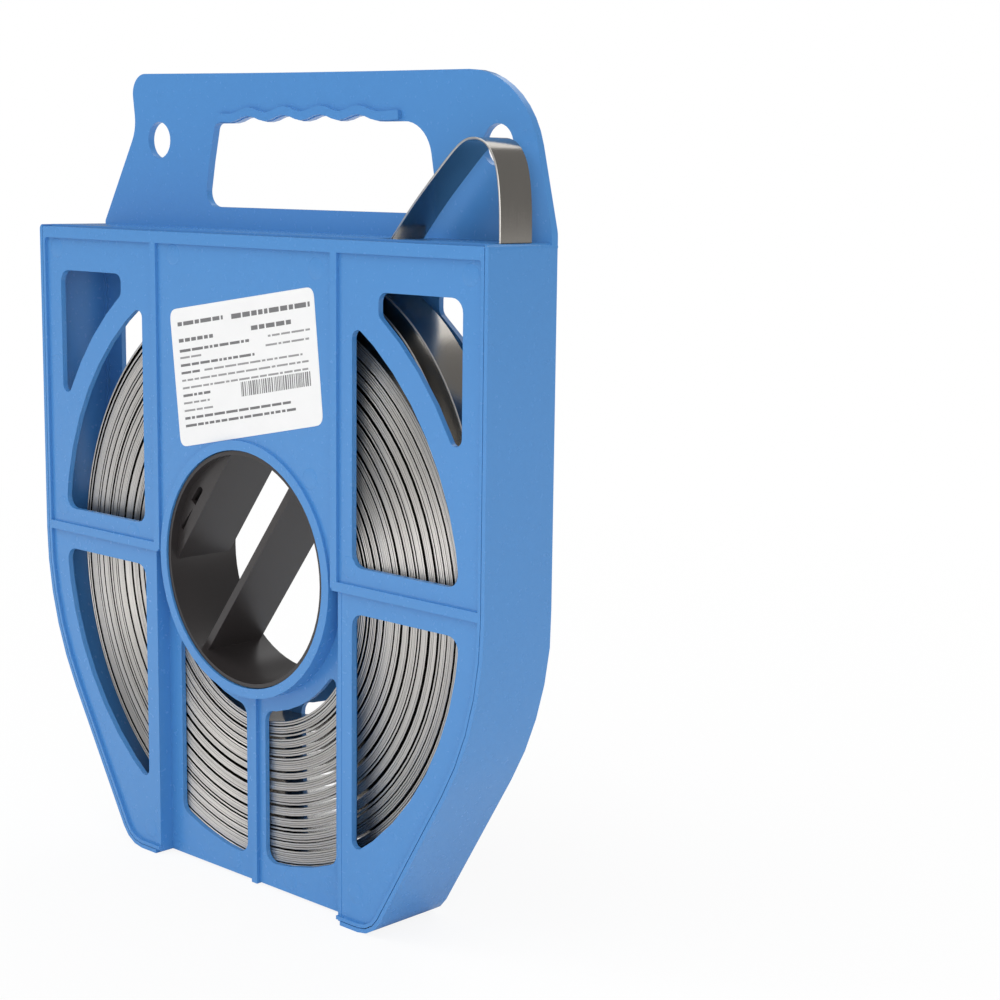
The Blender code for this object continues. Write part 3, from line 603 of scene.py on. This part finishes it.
def rounded_quad(corners, radius, steps=6):
    """The outline of a four-sided sheet with round corners."""
    points = []
    for i, (x, z) in enumerate(corners):
        before = np.array(corners[i - 1]) - (x, z)
        after = np.array(corners[(i + 1) % len(corners)]) - (x, z)
        before /= np.hypot(*before)
        after /= np.hypot(*after)
        start = np.array((x, z)) + before * radius
        end = np.array((x, z)) + after * radius
        for k in range(steps + 1):
            t = k / steps
            spot = (1 - t) ** 2 * start + 2 * t * (1 - t) * np.array((x, z)) + t * t * end
            points.append((float(spot[0]), float(spot[1])))
    return points


def add_sheet(shell, outline, back, front):
    """A thin closed plate over an outline, between two depths."""
    rear = [shell.verts.new((x, back, z)) for x, z in outline]
    fore = [shell.verts.new((x, front, z)) for x, z in outline]
    faces = [shell.faces.new(rear), shell.faces.new(list(reversed(fore)))]
    for i in range(len(outline)):
        k = (i + 1) % len(outline)
        faces.append(shell.faces.new((rear[i], fore[i], fore[k], rear[k])))
    return faces


# Strap route, as the solid follows it

def polar(radius, degrees):
    angle = math.radians(degrees)
    return (radius * math.cos(angle), COIL_CENTRE + radius * math.sin(angle))


def smooth_route(points, steps):
    """A smooth line through the points (Catmull-Rom)."""
    route = []
    last = len(points) - 1
    for i in range(last):
        p0, p1 = points[max(i - 1, 0)], points[i]
        p2, p3 = points[i + 1], points[min(i + 2, last)]
        for k in range(steps):
            t = k / steps
            route.append(tuple(
                0.5 * (2 * b + (c - a) * t + (2 * a - 5 * b + 4 * c - d) * t * t
                       + (3 * b - 3 * c + d - a) * t * t * t)
                for a, b, c, d in zip(p0, p1, p2, p3)))
    route.append(points[last])
    return route


def tail_route(thickness):
    """The last turn and the free end: round the coil, up the side wall, over and into the slot."""
    wrap = COIL_OUTER + STRAP_GAP + thickness / 2
    second = wrap + thickness + STRAP_GAP
    bulge = [polar(wrap, 0), polar(wrap + 0.0010, 8), polar(wrap + 0.0070, 20), polar(0.1272, 32),
             polar(0.1312, 45), polar(0.1322, 57), polar(0.1290, 70), polar(0.1230, 85),
             polar(0.1172, 100), polar(0.1136, 114)]
    turn = [polar(wrap, angle) for angle in range(125, 316, 10)]
    lift = [polar(wrap + 0.0006, 322), polar(second, 330), polar(second + 0.0004, 340)]
    leg = [(0.1150, COIL_CENTRE - 0.018), (0.1192, COIL_CENTRE + 0.010), (0.1218, COIL_CENTRE + 0.045),
           (0.1230, CASE_TOP - 0.040), (0.1238, CASE_TOP - 0.012)]
    loop = [(0.1240, CASE_TOP + 0.006), (0.1234, CASE_TOP + 0.018), (0.1214, CASE_TOP + 0.0275),
            (0.1172, CASE_TOP + 0.0335), (0.1110, CASE_TOP + 0.0353), (0.1042, CASE_TOP + 0.0328),
            (0.0925, CASE_TOP + 0.0222), (0.0827, CASE_TOP + 0.0125), (0.0733, CASE_TOP + 0.0020),
            (0.0690, CASE_TOP - 0.0030), (0.0640, CASE_TOP - 0.0072)]
    return smooth_route(bulge + turn + lift + leg + loop, 6)


# Pieces

def blue_plastic(settings):
    return bpy.data.materials.get("blue_moulding") or grouped_material(
        "blue_moulding", node_group("moulded_plastic", build_moulded_group), settings.blue,
        roughness=settings.gloss, flow=0.035, grain_scale=2400.0, grain_depth=0.0)


def steel_materials(settings):
    group = node_group("rolled_steel", build_rolled_group)
    face = bpy.data.materials.get("strap_face") or grouped_material(
        "strap_face", group, settings.steel, metallic=1.0,
        roughness=0.19, streak=0.16, band=0.12, relief=0.25)
    edge = bpy.data.materials.get("strap_edge") or grouped_material(
        "strap_edge", group, settings.cut_edge, metallic=1.0,
        roughness=0.42, streak=0.10, band=0.32, relief=0.30)
    return [face, edge]


class OBJECT_OT_strap_case(Operator):
    """Finish the front cover and the back tray of the case"""
    bl_idname = "object.strap_case"
    bl_label = "Case"

    def execute(self, context):
        settings = context.scene.strap_case
        blue = blue_plastic(settings)
        small = settings.edge_round / settings.crest_round

        def crest_rule(crest):
            def rule(edge, convex):
                if not convex:
                    return small
                if all(abs(v.co.y - crest) < ON_PLANE for v in edge.verts):
                    return 1.0
                return small
            return rule

        cover = welded_shell("carrier_front")
        weigh_edges(cover, crest_rule(CASE_FRONT))
        piece = link_piece("case_cover", shell_mesh(cover, "case_cover", blue), "carrier",
                           ["carrier_front"])
        round_edges(piece, settings.crest_round, 3)

        tray = welded_shell("carrier_back")
        geometry = tray.verts[:] + tray.edges[:] + tray.faces[:]
        bmesh.ops.bisect_plane(tray, geom=geometry, plane_co=(0, PARTING, 0), plane_no=(0, 1, 0),
                               dist=0.5 * WELD)
        for corner in tray.verts:
            x, y, z = corner.co
            if abs(abs(x) - CASE_SIDE) < ON_PLANE and z < CASE_TOP and y > PARTING:
                lean = settings.side_draft * (y - PARTING) / (CASE_BACK - PARTING)
                corner.co.x = x - math.copysign(lean, x)
        weigh_edges(tray, crest_rule(CASE_BACK))
        piece = link_piece("case_tray", shell_mesh(tray, "case_tray", blue), "carrier",
                           ["carrier_back"])
        round_edges(piece, settings.crest_round, 3)
        return {"FINISHED"}


class OBJECT_OT_strap_mould_marks(Operator):
    """Add the faint marks that the mould leaves on the panel"""
    bl_idname = "object.strap_mould_marks"
    bl_label = "Mould marks"

    def execute(self, context):
        settings = context.scene.strap_case
        shell = bmesh.new()
        places = [(x, z, PANEL_FACE) for x, z in PANEL_PINS]
        places += [(x, z, SUNK_FLOOR) for x, z in FLOOR_PINS]
        for x, z, face in places:
            loops = []
            for share, rise in PIN_RINGS:
                radius = settings.pin_radius * share
                loop = []
                for i in range(PIN_STEPS):
                    angle = 2 * math.pi * i / PIN_STEPS
                    loop.append(shell.verts.new((x + radius * math.cos(angle),
                                                 face - settings.pin_height * rise,
                                                 z + radius * math.sin(angle))))
                loops.append(loop)
            shell.faces.new(loops[0])
            for inner, outer in zip(loops, loops[1:]):
                for i in range(PIN_STEPS):
                    k = (i + 1) % PIN_STEPS
                    shell.faces.new((inner[i], inner[k], outer[k], outer[i]))
        bmesh.ops.recalc_face_normals(shell, faces=shell.faces)
        for face in shell.faces:
            if len(face.verts) > 4 and face.normal.y > 0:
                bmesh.ops.reverse_faces(shell, faces=shell.faces)
                break
        mesh = shell_mesh(shell, "mould_marks", blue_plastic(settings))
        mesh.shade_smooth()
        link_piece("mould_marks", mesh, "carrier")
        return {"FINISHED"}


class OBJECT_OT_strap_core(Operator):
    """Finish the black hub core"""
    bl_idname = "object.strap_core"
    bl_label = "Core"

    def execute(self, context):
        settings = context.scene.strap_core
        black = grouped_material(
            "black_moulding", node_group("moulded_plastic", build_moulded_group), settings.black,
            roughness=settings.gloss, flow=0.18, grain_scale=1500.0, grain_depth=0.02)
        shell = welded_shell("core")
        weigh_edges(shell, lambda edge, convex: 1.0)
        piece = link_piece("hub_core", shell_mesh(shell, "hub_core", black), "core",
                           ["core"])
        round_edges(piece, settings.edge_round, 2)
        return {"FINISHED"}


class OBJECT_OT_strap_coil(Operator):
    """Wind the strap on its coil, turn by turn"""
    bl_idname = "object.strap_coil"
    bl_label = "Coil"

    def execute(self, context):
        settings = context.scene.strap_steel
        radii = wound_radii(settings.turns, COIL_STEPS, COIL_INNER, COIL_OUTER, settings.thickness,
                            settings.bunch)
        angle = 2 * math.pi * np.arange(len(radii)) / COIL_STEPS
        path = np.stack([radii * np.cos(angle), COIL_CENTRE + radii * np.sin(angle)], axis=1)
        stray = settings.stray * (2 * wavy(len(radii), settings.turns, STRAY_KNOTS, STRAY_SEED) - 1)
        mesh = ribbon_mesh("strap_turns", path, settings.thickness, settings.width, stray,
                           steel_materials(settings))
        link_piece("strap_turns", mesh, "coil", ["strap_coil"])
        return {"FINISHED"}


class OBJECT_OT_strap_loose_turns(Operator):
    """Add the turns that have sprung away from the coil in the upper right corner"""
    bl_idname = "object.strap_loose_turns"
    bl_label = "Loose turns"

    def execute(self, context):
        settings = context.scene.strap_steel
        layer = settings.thickness + LOOSE_TURN_ROOM
        materials = steel_materials(settings)
        degrees = np.linspace(0.0, 120.0, 241)
        under = np.full(len(degrees), COIL_OUTER + STRAP_GAP + settings.thickness / 2)
        shell = bmesh.new()
        for start, end, bulge in LOOSE_TURNS:
            share = np.clip((degrees - start) / (end - start), 0.0, 1.0)
            over = under + bulge * np.sin(math.pi * share) ** 2
            angle = np.radians(np.linspace(start, end, LOOSE_TURN_STEPS))
            radius = np.interp(np.degrees(angle), degrees, over)
            path = np.stack([radius * np.cos(angle), COIL_CENTRE + radius * np.sin(angle)], axis=1)
            turn = ribbon_mesh("loose_turn", path, settings.thickness, settings.width,
                               np.zeros(LOOSE_TURN_STEPS), materials)
            shell.from_mesh(turn)
            bpy.data.meshes.remove(turn)
            under = over + layer
        mesh = bpy.data.meshes.new("loose_turns")
        shell.to_mesh(mesh)
        shell.free()
        for material in materials:
            mesh.materials.append(material)
        mesh.set_sharp_from_angle(angle=SHARP_FOLD)
        link_piece("loose_turns", mesh, "carrier")
        return {"FINISHED"}


class OBJECT_OT_strap_tail(Operator):
    """Lead the free end round the coil, up over the case and into its slot"""
    bl_idname = "object.strap_tail"
    bl_label = "Free end"

    def execute(self, context):
        settings = context.scene.strap_steel
        route = tail_route(settings.thickness)
        mesh = ribbon_mesh("strap_tail", route, settings.thickness, settings.width,
                           np.zeros(len(route)), steel_materials(settings))
        link_piece("strap_tail", mesh, "carrier", ["strap_end"])
        return {"FINISHED"}


class OBJECT_OT_strap_label(Operator):
    """Stick the paper label with its plain rules on the panel"""
    bl_idname = "object.strap_label"
    bl_label = "Label"

    def execute(self, context):
        settings = context.scene.strap_label
        back = PANEL_FACE - LABEL_BITE
        front = back - settings.thickness
        paper = paper_material("label_paper_white", settings.paper, 0.45)
        shell = bmesh.new()
        add_sheet(shell, rounded_quad(LABEL_CORNERS, settings.corner), back, front)
        bmesh.ops.recalc_face_normals(shell, faces=shell.faces)
        link_piece("label", shell_mesh(shell, "label", paper), "carrier")

        ink_front = front - INK_DEPTH
        random = np.random.RandomState(WORD_SEED)
        shell = bmesh.new()
        for v, size, start, end, ink in LABEL_ROWS:
            u = start
            height = RULE_HEIGHT * size
            while u < end - WORD_GAP:
                word = min(drawn(random, WORD_WIDTH), end - u)
                outline = [label_point(u, v - height / 2), label_point(u + word, v - height / 2),
                           label_point(u + word, v + height / 2), label_point(u, v + height / 2)]
                for face in add_sheet(shell, outline, front, ink_front):
                    face.material_index = ink
                u += word + WORD_GAP
        u = BARS_FROM
        while u < BARS_TO:
            bar = drawn(random, BAR_WIDTH)
            outline = [label_point(u, BARS_TOP), label_point(u + bar, BARS_TOP),
                       label_point(u + bar, BARS_BOTTOM), label_point(u, BARS_BOTTOM)]
            add_sheet(shell, outline, front, ink_front)
            u += bar + drawn(random, BAR_GAP)
        bmesh.ops.recalc_face_normals(shell, faces=shell.faces)
        mesh = shell_mesh(shell, "label_rules", paper_material("label_ink", settings.ink, 0.6))
        pale_ink = [0.5 * value + 0.22 for value in settings.ink]
        mesh.materials.append(paper_material("label_ink_pale", pale_ink, 0.6))
        link_piece("label_rules", mesh, "carrier")
        return {"FINISHED"}


def add_softbox(name, place, size, power):
    light = bpy.data.lights.new(name, "AREA")
    light.shape = "RECTANGLE"
    light.size, light.size_y = size
    light.energy = power
    lamp = bpy.data.objects.new(name, light)
    lamp.location = place
    aim = Vector(LIGHT_TARGET) - Vector(place)
    lamp.rotation_euler = aim.to_track_quat("-Z", "Y").to_euler()
    bpy.context.scene.collection.objects.link(lamp)


class OBJECT_OT_strap_stage(Operator):
    """Set up the floor, the light and the camera"""
    bl_idname = "object.strap_stage"
    bl_label = "Stage"

    def execute(self, context):
        scene = context.scene
        settings = scene.strap_stage
        scene.view_settings.view_transform = "Standard"

        shell = bmesh.new()
        bmesh.ops.create_circle(shell, cap_ends=True, radius=settings.floor_radius, segments=96)
        mesh = bpy.data.meshes.new("floor")
        shell.to_mesh(mesh)
        shell.free()
        floor = bpy.data.objects.new("floor", mesh)
        scene.collection.objects.link(floor)
        material = bpy.data.materials.new("studio_floor")
        material.use_nodes = True
        tree = material.node_tree
        matt = tree.nodes["Principled BSDF"]
        matt.inputs["Roughness"].default_value = 0.8
        matt.inputs["Specular IOR Level"].default_value = 0.1
        matt.inputs["Base Color"].default_value = tuple(settings.floor_colour) + (1.0,)
        glow = add_node(tree, "ShaderNodeEmission")
        glow.inputs["Strength"].default_value = 1.0
        path = add_node(tree, "ShaderNodeLightPath")
        place = add_node(tree, "ShaderNodeTexCoord").outputs["Object"]
        away = add_node(tree, "ShaderNodeVectorMath", operation="LENGTH")
        tree.links.new(place, away.inputs[0])
        glowing = ranged(tree, away.outputs["Value"], NEAR_GLOW, 1.0)
        share = math_node(tree, "MULTIPLY", path.outputs["Is Camera Ray"], glowing)
        mix = add_node(tree, "ShaderNodeMixShader")
        tree.links.new(share, mix.inputs["Fac"])
        tree.links.new(matt.outputs["BSDF"], mix.inputs[1])
        tree.links.new(glow.outputs["Emission"], mix.inputs[2])
        tree.links.new(mix.outputs["Shader"], tree.nodes["Material Output"].inputs["Surface"])
        mesh.materials.append(material)

        world = bpy.data.worlds.new("studio")
        scene.world = world
        world.use_nodes = True
        tree = world.node_tree
        tree.nodes.clear()
        out = add_node(tree, "ShaderNodeOutputWorld")
        path = add_node(tree, "ShaderNodeLightPath")
        lit = add_node(tree, "ShaderNodeBackground")
        glossy = path.outputs["Is Glossy Ray"]
        strength = ranged(tree, glossy, settings.world_light, settings.world_sheen)
        tree.links.new(strength, lit.inputs["Strength"])
        white = add_node(tree, "ShaderNodeBackground")
        for background in (lit, white):
            background.inputs["Color"].default_value = (1, 1, 1, 1)
        seen = math_node(tree, "MAXIMUM", path.outputs["Is Camera Ray"],
                         path.outputs["Is Transmission Ray"])
        mix = add_node(tree, "ShaderNodeMixShader")
        tree.links.new(seen, mix.inputs["Fac"])
        tree.links.new(lit.outputs["Background"], mix.inputs[1])
        tree.links.new(white.outputs["Background"], mix.inputs[2])
        tree.links.new(mix.outputs["Shader"], out.inputs["Surface"])

        for softbox in SOFTBOXES:
            add_softbox(*softbox)

        camera = bpy.data.cameras.new("photo_camera")
        camera.sensor_width = 36.0
        camera.lens = settings.focal_length
        camera.clip_start = 0.01
        viewer = bpy.data.objects.new("photo_camera", camera)
        viewer.location = settings.camera_place
        viewer.rotation_euler = settings.camera_turn
        scene.collection.objects.link(viewer)
        scene.camera = viewer
        return {"FINISHED"}


class VIEW3D_PT_strap_dispenser(Panel):
    """The dispenser's pieces and their settings"""
    bl_idname = "VIEW3D_PT_strap_dispenser"
    bl_label = "Strap dispenser"
    bl_space_type = "VIEW_3D"
    bl_region_type = "UI"
    bl_category = "Strap"

    def draw(self, context):
        layout = self.layout
        for name, settings in SETTINGS.items():
            box = layout.box()
            for key in settings.__annotations__:
                box.prop(getattr(context.scene, name), key)
        for operator in OPERATORS:
            layout.operator(operator.bl_idname)


OPERATORS = (
    OBJECT_OT_strap_case,
    OBJECT_OT_strap_mould_marks,
    OBJECT_OT_strap_core,
    OBJECT_OT_strap_coil,
    OBJECT_OT_strap_loose_turns,
    OBJECT_OT_strap_tail,
    OBJECT_OT_strap_label,
    OBJECT_OT_strap_stage,
)


def register():
    for settings in SETTINGS.values():
        bpy.utils.register_class(settings)
    for name, settings in SETTINGS.items():
        setattr(bpy.types.Scene, name, PointerProperty(type=settings))
    for operator in OPERATORS:
        bpy.utils.register_class(operator)
    bpy.utils.register_class(VIEW3D_PT_strap_dispenser)


def unregister():
    bpy.utils.unregister_class(VIEW3D_PT_strap_dispenser)
    for operator in reversed(OPERATORS):
        bpy.utils.unregister_class(operator)
    for name in SETTINGS:
        delattr(bpy.types.Scene, name)
    for settings in reversed(list(SETTINGS.values())):
        bpy.utils.unregister_class(settings)


def main():
    register()
    bpy.ops.object.strap_stage()
    bpy.ops.object.strap_case()
    bpy.ops.object.strap_mould_marks()
    bpy.ops.object.strap_core()
    bpy.ops.object.strap_coil()
    bpy.ops.object.strap_loose_turns()
    bpy.ops.object.strap_tail()
    bpy.ops.object.strap_label()


if __name__ == "__main__":
    main()
